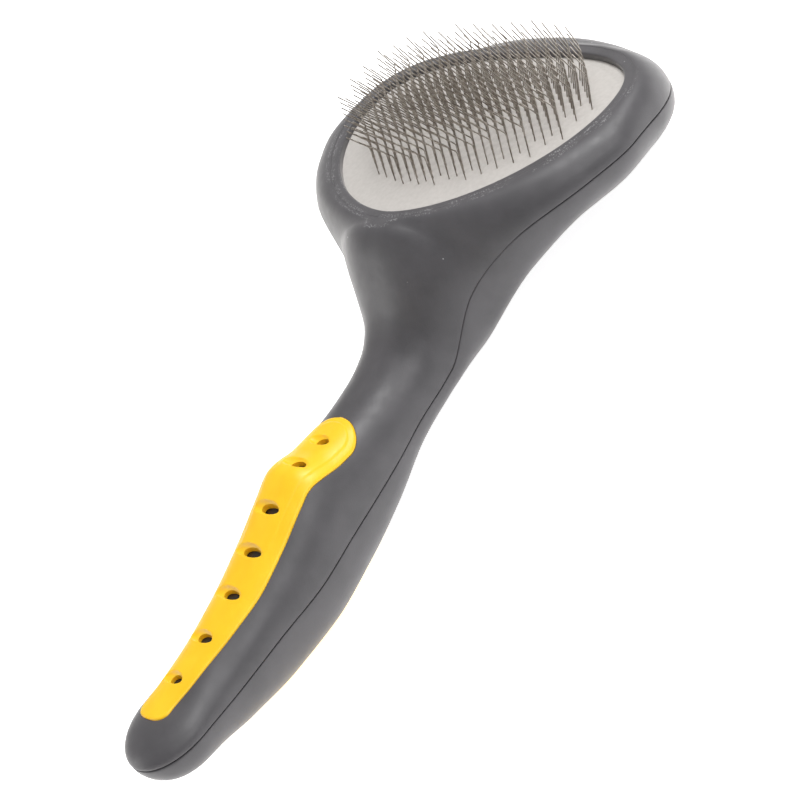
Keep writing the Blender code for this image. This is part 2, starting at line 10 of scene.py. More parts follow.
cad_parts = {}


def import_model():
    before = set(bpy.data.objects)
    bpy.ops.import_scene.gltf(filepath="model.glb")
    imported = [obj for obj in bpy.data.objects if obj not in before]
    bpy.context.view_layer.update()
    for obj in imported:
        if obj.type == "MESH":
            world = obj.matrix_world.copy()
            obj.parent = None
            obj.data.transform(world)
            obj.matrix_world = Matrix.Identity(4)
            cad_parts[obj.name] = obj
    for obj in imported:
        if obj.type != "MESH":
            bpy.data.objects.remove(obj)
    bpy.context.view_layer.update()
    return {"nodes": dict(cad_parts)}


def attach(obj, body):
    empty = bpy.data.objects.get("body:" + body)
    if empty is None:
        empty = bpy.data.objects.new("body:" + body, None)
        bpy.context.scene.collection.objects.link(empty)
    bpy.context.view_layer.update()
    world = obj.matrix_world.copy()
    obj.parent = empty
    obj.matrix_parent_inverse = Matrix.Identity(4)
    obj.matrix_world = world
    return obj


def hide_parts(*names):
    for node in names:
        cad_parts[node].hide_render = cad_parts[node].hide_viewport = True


# The body is drawn in the pad frame: x runs from the handle's tip to the head's far end,
# the rim of the pad opening lies in the plane z = 0, and the body is symmetric about y = 0.
TIP_X = -0.1776
FAR_X = 0.032

# Reach and power of the rounding at the handle's tip, and at the head's far end in plan
# and under its back, and the power of the roll from the far rim down to the seam.
TIP_CAP = (0.0143, 2.0)
FAR_CAP = (0.030, 2.3)
BACK_CAP = (0.018, 2.2)
FAR_ROLL_POWER = 2.2

# Knots (x, value) of the smooth curves along the body.
HALF_WIDTH = (
    (-0.177, 0.0120), (-0.165, 0.0120), (-0.150, 0.0112), (-0.135, 0.0120), (-0.118, 0.0137),
    (-0.103, 0.0139), (-0.085, 0.0130), (-0.072, 0.0125), (-0.059, 0.0134), (-0.046, 0.0215),
    (-0.033, 0.0390), (-0.020, 0.0495), (-0.007, 0.0545), (0.005, 0.0532), (0.032, 0.0518),
)
FRONT_HEIGHT = (
    (-0.177, -0.0410), (-0.165, -0.0412), (-0.150, -0.0395), (-0.135, -0.0365), (-0.120, -0.0320),
    (-0.110, -0.0278), (-0.103, -0.0253), (-0.095, -0.0272), (-0.085, -0.0279), (-0.073, -0.0269),
    (-0.064, -0.0242), (-0.058, -0.0188), (-0.053, -0.0087), (-0.049, -0.0026), (-0.045, 0.0),
    (0.032, 0.0),
)
SEAM_HEIGHT = (
    (-0.177, -0.0465), (-0.165, -0.0464), (-0.150, -0.0473), (-0.135, -0.0465), (-0.120, -0.0454),
    (-0.103, -0.0427), (-0.085, -0.0407), (-0.073, -0.0385), (-0.058, -0.0354), (-0.046, -0.0204),
    (-0.033, -0.0090), (-0.020, -0.0068), (-0.007, -0.0061), (0.005, -0.0073), (0.018, -0.0090),
    (0.032, -0.0110),
)
BACK_HEIGHT = (
    (-0.177, -0.0575), (-0.165, -0.0562), (-0.150, -0.0596), (-0.135, -0.0615), (-0.120, -0.0608),
    (-0.103, -0.0574), (-0.088, -0.0530), (-0.073, -0.0468), (-0.060, -0.0440), (-0.046, -0.0420),
    (-0.033, -0.0295), (-0.020, -0.0230), (-0.007, -0.0232), (0.008, -0.0240), (0.032, -0.0240),
)
# Powers of the sections' superellipses, blended from the handle to the head.
GRIP_ROUNDNESS = 2.2
RIM_ROUNDNESS = 2.0
BACK_GRIP_ROUNDNESS = 2.4
BACK_HEAD_ROUNDNESS = 2.2
HEAD_BLEND_START = -0.075
HEAD_BLEND_LENGTH = 0.035
TOP_FLAT_SHARE = 0.10
SEAM_GAP = 0.00028
SEAM_EDGE = 0.00022
# Rounding of the seam's edges: share of the way through the skin, and share of SEAM_EDGE.
SEAM_EDGE_STEPS = ((0.02, 0.45), (0.09, 0.85), (0.24, 1.0), (1.0, 1.0))
SKIN_THICKNESS = 0.0012
# Limits that keep a skin's inner surface inside it where the body is thin.
LEAST_INNER_SHARE = 0.3
CREST_LIMIT_SHARE = 0.9
# Grids of the skins: columns up each side and over the flat land, rows at an even pitch
# along the middle, and rows at even angles, in degrees, in the two rounded ends.
SIDE_STEPS = 22
LAND_STEPS = 5
MIDDLE_ROWS = (-0.1612, 0.0205)
ROW_PITCH = 0.0013
END_ROW_ANGLE = 6
FAR_ROW_REACH = 0.0105
SHARP_ANGLE = 40.0

# Egg-shaped opening: pointed towards the handle, blunt at the far end.
OPENING_HALF_WIDTH = 0.0449
OPENING_NEAR = 0.0394
OPENING_FAR = 0.0206
EGG_NEAR_POWER = 1.77
EGG_FAR_POWER = 2.7
RIM_LAND = 0.0030
OPENING_STEPS = 400
OPENING_CLEARANCE = 0.00002
OPENING_CUT = 0.004

# Ring that lines the opening, with grains worn into its flat land on the handle's side.
LIP_WIDTH = 0.0026
LIP_CHAMFER = 0.00006
LIP_WORN_WIDTH = 0.0005
LIP_LAND_INNER = 0.0012
LIP_FILLET = 0.0005
LIP_WALL_MIDDLE = 0.0014
LIP_DEPTH = 0.00175
LIP_WALL = 0.0011
LIP_UNDER_WALL = 0.0013
LIP_UNDER_SKIN = 0.0012
LIP_STEPS = 560
WORN_LOOPS = (1, 2)  # the loops of points on the outer edge of the land
WEAR_DEPTH = 0.00005
WEAR_END = 0.012
WEAR_FADE = 0.020
WEAR_SEED = 7

# Pad: height at its edge, rise of its middle, and the thickness of each layer.
PAD_EDGE = -0.0019
PAD_DOME = 0.0012
PAD_DOME_POWER = 0.9
PAD_FACE_THICKNESS = 0.0008
WEAVE_THICKNESS = 0.0006
FOAM_THICKNESS = 0.0028
LAYER_GAP = 0.0001
LAYER_GROWTH = 0.0007
PIN_DIMPLE_DEPTH = 0.00022
PIN_DIMPLE_RADIUS = 0.00055
PAD_FACE_STEPS = (130, 181)
PAD_LAYER_STEPS = (40, 41)

# Staples: two bent legs joined under the pad, in rows across an egg-shaped field, whose
# reach and power are given for the side of the handle and for the far side.
WIRE_RADIUS = 0.00016
WIRE_SIDES = 7
WIRE_END_SHARE = 0.45
WIRE_TAPER = 0.0005
WIRE_SHARP_ANGLE = 60.0
FIELD_HALF_WIDTH = 0.0376
FIELD_NEAR = (0.0286, 2.0)
FIELD_FAR = (0.0148, 2.3)
ROW_COUNT = 20
FIRST_ROW_X = -0.0276
ROW_SPACING = 0.00216
STAPLE_PITCH = 0.0062
STAPLE_LEG_SPACING = 0.0042
STAPLE_SLANT = 0.0011
STAPLE_START = 0.0034
STAPLE_STEP = 0.4
STAPLES_EACH_SIDE = 8
STAGGERED_ROWS = 5
ROW_FAN = 0.0085
EVEN_ROW = 7
# Legs: rise of each half, its lean along the head for each unit of rise, and its lean
# across the head for each metre off the middle line.
LOWER_RISE = 0.0070
UPPER_RISE = 0.0065
LOWER_LEAN = 0.48
UPPER_LEAN = -0.42
LOWER_FAN = 1.0
UPPER_FAN = 3.0
SPLAY = 0.22
SPLAY_POWER = 3
LOWER_JITTER = 0.005
UPPER_JITTER = 0.010
LENGTH_JITTER = 0.02
BEND_LENGTH = 0.0006
BEND_CUT = 0.22
CROWN_DEPTH = 0.0017
WIRE_SEED = 7

# Front grip: its two ends, its edge on each side of the middle line, and the reach and
# power of its rounded ends.
FRONT_GRIP_START = -0.1672
FRONT_GRIP_END = -0.083
FRONT_GRIP_NEAR_EDGE = (
    (-0.1672, 0.0032), (-0.162, 0.0034), (-0.157, 0.0042), (-0.151, 0.0050), (-0.141, 0.0066),
    (-0.129, 0.0081), (-0.118, 0.0084), (-0.107, 0.0087), (-0.101, 0.0094), (-0.083, 0.0097),
)
FRONT_GRIP_FAR_EDGE = (
    (-0.1672, 0.0082), (-0.155, 0.0080), (-0.141, 0.0082), (-0.118, 0.0087), (-0.101, 0.0080),
    (-0.083, 0.0084),
)
FRONT_GRIP_CAPS = ((0.0035, 2.4), (0.0085, 2.0))
# Grips: how far the front one stands over the skin, the width of the rounded border, the
# thickness, how deep the border's foot lies in the recess, and the steps of the grids.
GRIP_RAISE = 0.00035
GRIP_EDGE = 0.0006
GRIP_DEPTH = 0.0016
GRIP_SINK = 0.0003
GRIP_EVEN_SHARE = 0.15
GRIP_BORDER_STEPS = 700
GRIP_COLUMN_SPREAD = math.radians(65)
FRONT_GRIP_STEPS = (420, 61)
BACK_GRIP_STEPS = (120, 31)
SLOPE_STEP = 0.0002
# Middle panel of the front grip, raised by a small step that fades towards the tip.
PANEL_INSET = ((-0.130, 0.0034), (-0.112, 0.0029), (-0.100, 0.0022), (-0.083, 0.0018))
PANEL_FADE = (-0.128, -0.114)
PANEL_STEP = 0.00020
PANEL_STEP_WIDTH = 0.0005
# Slots: place along the handle, place across it, half width of the hole, half width of its dip.
SLOTS = (
    (-0.1560, 0.0022, 0.0023, 0.0037), (-0.1447, 0.0011, 0.0029, 0.0044),
    (-0.1332, 0.0002, 0.0031, 0.0051), (-0.1226, 0.0, 0.0035, 0.0053),
    (-0.1124, -0.0005, 0.0034, 0.0049), (-0.1004, -0.0022, 0.0025, 0.0042),
    (-0.0915, -0.0015, 0.0022, 0.0034),
)
SLOT_HALF_LENGTH = 0.0013
SLOT_SIDES = 40
SLOT_CUT = 0.004
DIMPLE_STEEP_LENGTH = 0.0014
DIMPLE_SOFT_LENGTH = 0.0019
DIMPLE_SHIFT = 0.0011
DIMPLE_DEPTH = 0.0010
DIMPLE_POWER = 0.7
BACK_GRIP_START = -0.158
BACK_GRIP_END = -0.088
BACK_GRIP_EDGE = ((-0.158, 0.0066), (-0.123, 0.0080), (-0.088, 0.0074))
BACK_GRIP_CAPS = ((0.008, 2.0), (0.008, 2.0))
# Recesses that the grips lie in: gap round the grip, points of each outline and heights.
GRIP_GAP = 0.00006
RECESS_STEPS = 90
RECESS_TOP = 0.0
RECESS_BOTTOM = -0.080

# The brush lies on the back of its head and of its handle.
REST_PITCH = math.radians(15.5)
REST_LIFT = 0.0269
REST_SHIFT = 0.0777
REST_SOFTNESS = 0.0001
REST = Matrix.Translation((REST_SHIFT, 0.0, REST_LIFT)) @ Matrix.Rotation(REST_PITCH, 4, "Y")

# Darker and paler colour of each finish.
FRONT_RUBBER = ((0.058, 0.0555, 0.060), (0.071, 0.0675, 0.073))
BACK_RUBBER = ((0.069, 0.066, 0.071), (0.083, 0.079, 0.085))
FRONT_YELLOW = ((0.90, 0.515, 0.013), (0.92, 0.550, 0.018))
BACK_YELLOW = ((0.94, 0.58, 0.018), (0.96, 0.64, 0.035))
# Front core: painted shade, far darker than the back core so that the holes of the slots in the front
# grip look dark inside.
FRONT_CORE_SHADED = ((0.014, 0.012, 0.010), (0.020, 0.017, 0.014))
BACK_CORE = ((0.045, 0.043, 0.046), (0.058, 0.056, 0.059))
TRAY = ((0.070, 0.070, 0.074), (0.088, 0.088, 0.092))
PAD = ((0.455, 0.432, 0.408), (0.490, 0.466, 0.442))
STEEL = ((0.26, 0.228, 0.198), (0.52, 0.475, 0.425))
CLOTH = ((0.34, 0.28, 0.20), (0.56, 0.49, 0.38))
FOAM = ((0.16, 0.16, 0.17), (0.38, 0.38, 0.40))
PAPER = ((0.80, 0.80, 0.80), (0.82, 0.82, 0.82))
# Colour of the grains on the rim: partly wear, partly a painted highlight that stands for light caught
# on the grains.
RIM_WEAR_AND_GLINT = (0.26, 0.255, 0.26)
RUBBER_DUST = (0.42, 0.41, 0.42)
PAD_DUST = (0.46, 0.44, 0.42)
# Band of lighter grains in the pad frame, partly wear and partly painted highlight: heights and places
# along the head, each as (from, to).
WEAR_AND_GLINT_BAND_BOTTOM = (-0.00016, -0.00006)
WEAR_AND_GLINT_BAND_TOP = (-0.000012, -0.000004)
WEAR_AND_GLINT_BAND_END = (0.002, 0.016)

# Camera, in the pad frame.
CAMERA_PLACE = (-0.2666, -0.3731, 0.2198)
CAMERA_RIGHT = (0.57738, -0.65046, -0.4935)
CAMERA_UP = (0.71012, 0.10175, 0.69669)
CAMERA_LENS = 90.0
CAMERA_SENSOR = 36.0
CAMERA_CLIP = 0.01

# Lights, in the rest frame: name, place, target, size and power.
LIGHTS = (
    ("overhead", (0.66, -0.05, 0.92), (0.0, 0.0, 0.0), 0.6, 10.5),
    ("front", (0.15, -0.75, 0.85), (-0.02, 0.0, 0.0), 0.7, 5.0),
    ("side", (-0.75, 0.80, 0.25), (-0.05, 0.0, 0.0), 0.9, 4.0),
)
SKY_STRENGTH = 0.32
FLOOR_REACH = 3.0


def smooth_curve(knots, x):
    """Cubic through the knots that never overshoots them."""
    knot_x, knot_y = np.array(knots).T
    step = np.diff(knot_x)
    slope = np.diff(knot_y) / step
    before, after = slope[:-1], slope[1:]
    same_way = before * after > 0
    mean = 2 * before * after / np.where(same_way, before + after, 1.0)
    tangent = np.concatenate([slope[:1], np.where(same_way, mean, 0.0), slope[-1:]])
    i = np.clip(np.searchsorted(knot_x, x) - 1, 0, len(step) - 1)
    t = np.clip((x - knot_x[i]) / step[i], 0.0, 1.0)
    rise = knot_y[i] * (1 + 2 * t) * (1 - t) ** 2 + knot_y[i + 1] * t ** 2 * (3 - 2 * t)
    return rise + step[i] * (tangent[i] * t * (1 - t) ** 2 + tangent[i + 1] * t ** 2 * (t - 1))


def ease(t):
    """Smooth step from 0 to 1."""
    t = np.clip(t, 0.0, 1.0)
    return t * t * (3 - 2 * t)


def cap_factor(distance, reach, power):
    """1 away from an end, falling along a superellipse to 0 at the end."""
    share = np.clip(distance / reach, 0.0, 1.0)
    return np.maximum(1 - (1 - share) ** power, 0.0) ** (1 / power)


def egg_half_width(x, growth):
    """Half width at x of the opening's outline grown outward by growth."""
    share = np.where(x < 0, -x / (OPENING_NEAR + growth), x / (OPENING_FAR + growth))
    power = np.where(x < 0, EGG_NEAR_POWER, EGG_FAR_POWER)
    inside = np.clip(1 - np.clip(share, 0.0, 1.0) ** power, 0.0, 1.0)
    return (OPENING_HALF_WIDTH + growth) * inside ** (1 / power)


def egg_point(angle, growth):
    """Point of the grown outline at an angle that runs once round it."""
    across = np.cos(angle)
    along = np.sin(angle)
    power = np.where(along < 0, EGG_NEAR_POWER, EGG_FAR_POWER)
    reach = np.where(along < 0, OPENING_NEAR, OPENING_FAR)
    y = (OPENING_HALF_WIDTH + growth) * np.sign(across) * np.abs(across) ** (2 / power)
    x = (reach + growth) * np.sign(along) * np.abs(along) ** (2 / power)
    return x, y


Sections = namedtuple("Sections", (
    "half", "crest", "front_round", "back_round", "front_foot", "front_rise", "back_foot", "back_drop",
))


def body_sections(x):
    """Measures of the sections at x: half width in all and of the flat crest, powers of the
    front and back curves, and for each the height of its foot and how far it rises or drops."""
    tip = cap_factor(x - TIP_X, *TIP_CAP)
    half = smooth_curve(HALF_WIDTH, x) * tip * cap_factor(FAR_X - x, *FAR_CAP)
    crest = np.maximum(egg_half_width(x, RIM_LAND), TOP_FLAT_SHARE * half)
    seam = smooth_curve(SEAM_HEIGHT, x)
    front = smooth_curve(FRONT_HEIGHT, x)
    past_rim = np.clip((x - OPENING_FAR - RIM_LAND) / (FAR_X - OPENING_FAR - RIM_LAND), 0.0, 1.0)
    rolled = seam * (1 - (1 - past_rim ** FAR_ROLL_POWER) ** (1 / FAR_ROLL_POWER))
    front = np.where(past_rim > 0, rolled, front)
    front_foot = seam + SEAM_GAP / 2 + SEAM_EDGE
    back_foot = seam - SEAM_GAP / 2 - SEAM_EDGE
    front_rise = np.maximum(front - front_foot, 0.0) * tip
    back_cap = tip * cap_factor(FAR_X - x, *BACK_CAP)
    back_drop = np.maximum(back_foot - smooth_curve(BACK_HEIGHT, x), 0.0) * back_cap
    head_share = ease((x - HEAD_BLEND_START) / HEAD_BLEND_LENGTH)
    front_round = GRIP_ROUNDNESS + (RIM_ROUNDNESS - GRIP_ROUNDNESS) * head_share
    back_round = BACK_GRIP_ROUNDNESS + (BACK_HEAD_ROUNDNESS - BACK_GRIP_ROUNDNESS) * head_share
    return Sections(half, crest, front_round, back_round, front_foot, front_rise, back_foot,
                    back_drop)


def front_height(x, y):
    """Height of the front surface above the points (x, y)."""
    at = body_sections(x)
    share = np.clip((np.abs(y) - at.crest) / (at.half - at.crest), 0.0, 1.0)
    return at.front_foot + at.front_rise * (1 - share ** at.front_round) ** (1 / at.front_round)


def back_height(x, y):
    """Height of the back surface below the points (x, y)."""
    at = body_sections(x)
    share = np.clip(np.abs(y) / at.half, 0.0, 1.0)
    return at.back_foot - at.back_drop * (1 - share ** at.back_round) ** (1 / at.back_round)


def flatten_at_rest(points):
    """Points that would sink under the surface the brush lies on are lifted onto it."""
    sine, cosine = math.sin(REST_PITCH), math.cos(REST_PITCH)
    height = -points[..., 0] * sine + points[..., 2] * cosine + REST_LIFT
    lifted = (height + np.sqrt(height ** 2 + REST_SOFTNESS ** 2)) / 2
    moved = points.copy()
    moved[..., 0] -= (lifted - height) * sine
    moved[..., 2] += (lifted - height) * cosine
    return moved


def inset_sections(x, half, rise, inset):
    """Section places and measures of a surface that lies deeper by inset."""
    share = (x - TIP_X) / (FAR_X - TIP_X)
    moved = x + inset * (1 - 2 * share)
    inner_half = np.maximum(half - inset, LEAST_INNER_SHARE * half)
    inner_rise = np.maximum(rise - inset, LEAST_INNER_SHARE * rise)
    return moved, inner_half, inner_rise


def front_grid(x, inset):
    """Rows of points from one seam over the front to the other seam."""
    at = body_sections(x[:, None])
    moved, half, rise = inset_sections(x[:, None], at.half, at.front_rise, inset)
    crest = np.minimum(at.crest, CREST_LIMIT_SHARE * half)
    angle = np.linspace(0.0, math.pi / 2, SIDE_STEPS + 1)[None, :]
    cosine = np.clip(np.cos(angle), 0.0, 1.0)
    side_y = crest + (half - crest) * cosine ** (2 / at.front_round)
    side_z = at.front_foot + rise * np.sin(angle) ** (2 / at.front_round)
    land = 1 - np.arange(1, LAND_STEPS + 1)[None, :] / LAND_STEPS
    land_z = np.repeat(side_z[:, -1:], LAND_STEPS, axis=1)
    return mirrored(moved, np.hstack([side_y, crest * land]), np.hstack([side_z, land_z]))


def back_grid(x, inset):
    """Rows of points from one seam under the back to the other seam."""
    at = body_sections(x[:, None])
    moved, half, drop = inset_sections(x[:, None], at.half, at.back_drop, inset)
    angle = np.linspace(0.0, math.pi / 2, SIDE_STEPS + 1)[None, :]
    cosine = np.clip(np.cos(angle), 0.0, 1.0)
    y = half * cosine ** (2 / at.back_round)
    z = at.back_foot - drop * np.sin(angle) ** (2 / at.back_round)
    return flatten_at_rest(mirrored(moved, y, z))


def mirrored(x, y, z):
    """Grid whose rows run from +y through the middle, where y is 0, to -y."""
    right = np.stack([np.repeat(x, y.shape[1], axis=1), y, z], axis=-1)
    left = right[:, -2::-1] * np.array([1.0, -1.0, 1.0])
    return np.concatenate([right, left], axis=1)


class Shell:
    """Vertices and faces of a closed mesh made of grids, fans and strips."""

    def __init__(self):
        self.points = []
        self.faces = []

    def add(self, points):
        """Adds points and returns their numbers in the same shape."""
        points = np.asarray(points, float)
        shape = points.shape[:-1]
        start = len(self.points)
        self.points.extend(points.reshape(-1, 3).tolist())
        count = len(self.points) - start
        return (start + np.arange(count)).reshape(shape)

    def quads(self, numbers, flip=False, around=False):
        """Faces between the rows of a grid of point numbers."""
        if around:
            numbers = np.hstack([numbers, numbers[:, :1]])
        low, high = numbers[:-1], numbers[1:]
        corners = np.stack([low[:, :-1], high[:, :-1], high[:, 1:], low[:, 1:]], axis=-1)
        corners = corners.reshape(-1, 4)
        if flip:
            corners = corners[:, ::-1]
        self.faces.extend(corners.tolist())

    def fan(self, row, pole, flip=False):
        """Triangles from each piece of a row to one point."""
        for a, b in zip(row[:-1], row[1:]):
            self.faces.append([int(b), int(pole), int(a)] if flip else [int(a), int(pole), int(b)])

    def mesh(self, name):
        """Mesh of the points and faces, turned so that its faces look outward."""
        data = bpy.data.meshes.new(name)
        data.from_pydata(self.points, [], self.faces)
        data.update()
        if signed_volume(data) < 0:
            data.flip_normals()
        return data


def closed_shell(name, outer, inner, outer_poles, inner_poles, rims=()):
    """Mesh between an outer and an inner grid that end in poles, joined round their border.

    rims are extra loops of points between the outer border and the inner border, as
    functions of (outer border points, inner border points)."""
    shell = Shell()
    outer_n = shell.add(outer)
    outer_p = shell.add(outer_poles)
    inner_n = shell.add(inner)
    inner_p = shell.add(inner_poles)
    for numbers, poles, flip in ((outer_n, outer_p, False), (inner_n, inner_p, True)):
        shell.quads(numbers, flip)
        shell.fan(numbers[0], poles[0], not flip)
        shell.fan(numbers[-1], poles[1], flip)

    def border(numbers, poles):
        loop = [poles[0], *numbers[:, 0], poles[1], *numbers[::-1, -1]]
        return np.array(loop)

    outer_loop = border(outer_n, outer_p)
    inner_loop = border(inner_n, inner_p)
    points = np.array(shell.points)
    loops = [outer_loop]
    for rim in rims:
        loops.append(shell.add(rim(points[outer_loop], points[inner_loop])))
    loops.append(inner_loop)
    shell.quads(np.array(loops), around=True)
    return shell.mesh(name)


def signed_volume(data):
    """Six times the volume of a closed mesh, negative when its faces look inward."""
    data.calc_loop_triangles()
    corners = np.zeros(len(data.vertices) * 3)
    data.vertices.foreach_get("co", corners)
    corners = corners.reshape(-1, 3)
    triangles = np.zeros(len(data.loop_triangles) * 3, int)
    data.loop_triangles.foreach_get("vertices", triangles)
    a, b, c = (corners[triangles.reshape(-1, 3)[:, k]] for k in range(3))
    return float(np.einsum("ij,ij->i", a, np.cross(b, c)).sum())


def finish_mesh(data, sharp_degrees=SHARP_ANGLE):
    """Lays the mesh in the rest frame and shades it smooth, with sharp edges kept."""
    data.transform(REST)
    for polygon in data.polygons:
        polygon.use_smooth = True
    data.set_sharp_from_angle(angle=math.radians(sharp_degrees))
    return data


def cut_mesh(data, cutters):
    """The mesh with the closed cutter meshes taken away."""
    scene = bpy.context.scene
    target = bpy.data.objects.new("cut_target", data)
    scene.collection.objects.link(target)
    helpers = [target]
    for cutter_data in cutters:
        cutter = bpy.data.objects.new("cutter", cutter_data)
        scene.collection.objects.link(cutter)
        helpers.append(cutter)
        boolean = target.modifiers.new("cut", "BOOLEAN")
        boolean.operation = "DIFFERENCE"
        boolean.solver = "EXACT"
        boolean.object = cutter
    graph = bpy.context.evaluated_depsgraph_get()
    result = bpy.data.meshes.new_from_object(target.evaluated_get(graph))
    for helper in helpers:
        bpy.data.objects.remove(helper)
    return result


def prism(name, outline, top, bottom):
    """Closed column with a flat outline."""
    shell = Shell()
    loops = [[(x, y, z) for x, y in outline] for z in (bottom, top)]
    numbers = shell.add(loops)
    shell.quads(numbers, around=True)
    shell.faces.append(numbers[0].tolist())
    shell.faces.append(numbers[1][::-1].tolist())
    return shell.mesh(name)


def body_rows():
    """Places along the body where sections are taken, closer together at both ends."""
    tip_angle = np.radians(np.arange(4, 90, END_ROW_ANGLE))
    tip = TIP_X + TIP_CAP[0] * (1 - np.cos(tip_angle))
    middle = np.arange(*MIDDLE_ROWS, ROW_PITCH)
    far_angle = np.radians(np.arange(86, 2, -END_ROW_ANGLE))
    far = FAR_X - FAR_ROW_REACH * (1 - np.cos(far_angle))
    return np.concatenate([tip, middle, far])


def skin_mesh(name, grid, sign):
    """Shell of one skin with rounded seam edges, where sign is 1 in front and -1 at the back."""
    x = body_rows()
    outer, inner = grid(x, 0.0), grid(x, SKIN_THICKNESS)
    tip_foot, far_foot = foot_height(TIP_X, sign), foot_height(FAR_X, sign)
    outer_poles = [(TIP_X, 0.0, tip_foot), (FAR_X, 0.0, far_foot)]
    inner_poles = [(TIP_X + SKIN_THICKNESS, 0.0, tip_foot), (FAR_X - SKIN_THICKNESS, 0.0, far_foot)]

    def rim(inward, drop):
        def points(outer_border, inner_border):
            moved = outer_border + (inner_border - outer_border) * inward
            moved[:, 2] -= sign * SEAM_EDGE * drop
            return moved
        return points

    rims = [rim(inward, drop) for inward, drop in SEAM_EDGE_STEPS]
    return closed_shell(name, outer, inner, outer_poles, inner_poles, rims)


def foot_height(x, sign):
    """Height at x of the seam's edge on the front skin or on the back skin."""
    at = body_sections(np.array([x]))
    return at.front_foot[0] if sign > 0 else at.back_foot[0]


class Grip:
    """Outline of one grip: its two ends, an edge curve on each side, and rounded ends."""

    def __init__(self, start, end, near_edge, far_edge, caps):
        self.start, self.end = start, end
        self.near_edge, self.far_edge = near_edge, far_edge
        self.caps = caps

    def rows(self, growth, count):
        """Places along the grip, closer together at its two ends."""
        share = np.arange(1, count) / count
        crowded = (1 - np.cos(np.pi * share)) / 2
        length = self.end - self.start + 2 * growth
        mixed = GRIP_EVEN_SHARE * share + (1 - GRIP_EVEN_SHARE) * crowded
        return self.start - growth + length * mixed

    def edges(self, x, growth):
        """Places of the edges on the +y side and the -y side at x."""
        (low_reach, low_power), (high_reach, high_power) = self.caps
        low = cap_factor(x - self.start + growth, low_reach + growth, low_power)
        high = cap_factor(self.end + growth - x, high_reach + growth, high_power)
        far = smooth_curve(self.far_edge, x) + growth
        near = smooth_curve(self.near_edge, x) + growth
        middle = (far - near) / 2
        half = (far + near) / 2 * low * high
        return middle + half, middle - half

    def end_middle(self, x):
        """Place across the handle of the middle of an end."""
        return (smooth_curve(self.far_edge, x) - smooth_curve(self.near_edge, x)) / 2

    def outline(self, growth, count):
        """Points once round the grip."""
        x = self.rows(growth, count)
        far, near = self.edges(x, growth)
        ends = [(place, float(self.end_middle(place))) for place in (self.start, self.end)]
        first = (self.start - growth, ends[0][1])
        last = (self.end + growth, ends[1][1])
        side = list(zip(x.tolist(), far.tolist()))
        other = list(zip(x.tolist(), near.tolist()))[::-1]
        return [first] + side + [last] + other

    def border_distance(self, x, y):
        """Distance from each point (x, y) to the outline."""
        line = np.array(self.outline(0.0, GRIP_BORDER_STEPS))
        gaps = np.full(x.shape, np.inf)
        for line_x, line_y in line:
            gaps = np.minimum(gaps, (x - line_x) ** 2 + (y - line_y) ** 2)
        return np.sqrt(gaps)


FRONT_GRIP = Grip(FRONT_GRIP_START, FRONT_GRIP_END, FRONT_GRIP_NEAR_EDGE, FRONT_GRIP_FAR_EDGE,
                  FRONT_GRIP_CAPS)
BACK_GRIP = Grip(BACK_GRIP_START, BACK_GRIP_END, BACK_GRIP_EDGE, BACK_GRIP_EDGE, BACK_GRIP_CAPS)


def surface_normals(height, x, y, sign):
    """Unit normals of a height surface."""
    step = SLOPE_STEP
    slope_x = (height(x + step, y) - height(x - step, y)) / (2 * step)
    slope_y = (height(x, y + step) - height(x, y - step)) / (2 * step)
    normal = np.stack([-slope_x, -slope_y, np.ones_like(x)], axis=-1)
    return sign * normal / np.linalg.norm(normal, axis=-1, keepdims=True)


def rounded_edge(distance):
    """Height of the grip's face above the skin, rounded down at the border."""
    share = np.clip(distance / GRIP_EDGE, 0.0, 1.0)
    return (GRIP_RAISE + GRIP_SINK) * np.sqrt(1 - (1 - share) ** 2) - GRIP_SINK


def slot_dimples(x, y):
    """Depth of the shallow hollows round the slots, steeper on the side of the handle's tip."""
    depth = np.zeros_like(x)
    for place, across, _, half in SLOTS:
        length = np.where(x < place, DIMPLE_STEEP_LENGTH, DIMPLE_SOFT_LENGTH)
        share = ((x - place) / length) ** 2 + ((y - across - DIMPLE_SHIFT) / half) ** 2
        depth += DIMPLE_DEPTH * np.clip(1 - share, 0.0, 1.0) ** DIMPLE_POWER
    return depth


def panel_step(x, distance):
    """Step between the grip's middle panel and the band round it."""
    inset = smooth_curve(PANEL_INSET, x)
    inside = ease((distance - inset) / PANEL_STEP_WIDTH + 0.5)
    fade = ease((x - PANEL_FADE[0]) / (PANEL_FADE[1] - PANEL_FADE[0]))
    return PANEL_STEP * inside * fade


def grip_mesh(name, grip, height, sign, counts, relief):
    """Grip laid in its recess: a patch of the body surface with its own relief."""
    rows, columns = counts
    x_row = grip.rows(0.0, rows)
    far, near = grip.edges(x_row, 0.0)
    spread = GRIP_COLUMN_SPREAD
    share = (1 + np.sin(np.linspace(-spread, spread, columns)) / math.sin(spread)) / 2
    x = np.repeat(x_row[:, None], columns, axis=1)
    y = near[:, None] + (far - near)[:, None] * share[None, :]
    pole_x = np.array([grip.start, grip.end])
    pole_y = grip.end_middle(pole_x)

    def lifted(px, py, offset):
        base = np.stack([px, py, height(px, py)], axis=-1)
        base = base + surface_normals(height, px, py, sign) * offset[..., None]
        return flatten_at_rest(base)

    outer = lifted(x, y, relief(x, y))
    inner = lifted(x, y, np.full_like(x, -GRIP_DEPTH))
    outer_poles = lifted(pole_x, pole_y, np.full(2, -GRIP_SINK))
    inner_poles = lifted(pole_x, pole_y, np.full(2, -GRIP_DEPTH))
    return closed_shell(name, outer, inner, outer_poles, inner_poles)


def front_relief(x, y):
    """Front grip: rounded border, raised middle panel and a dimple round each slot."""
    distance = FRONT_GRIP.border_distance(x, y)
    return rounded_edge(distance) + panel_step(x, distance) - slot_dimples(x, y)


def back_relief(x, y):
    """Back grip: flush with the skin, with a rounded border."""
    return rounded_edge(BACK_GRIP.border_distance(x, y)) - GRIP_RAISE


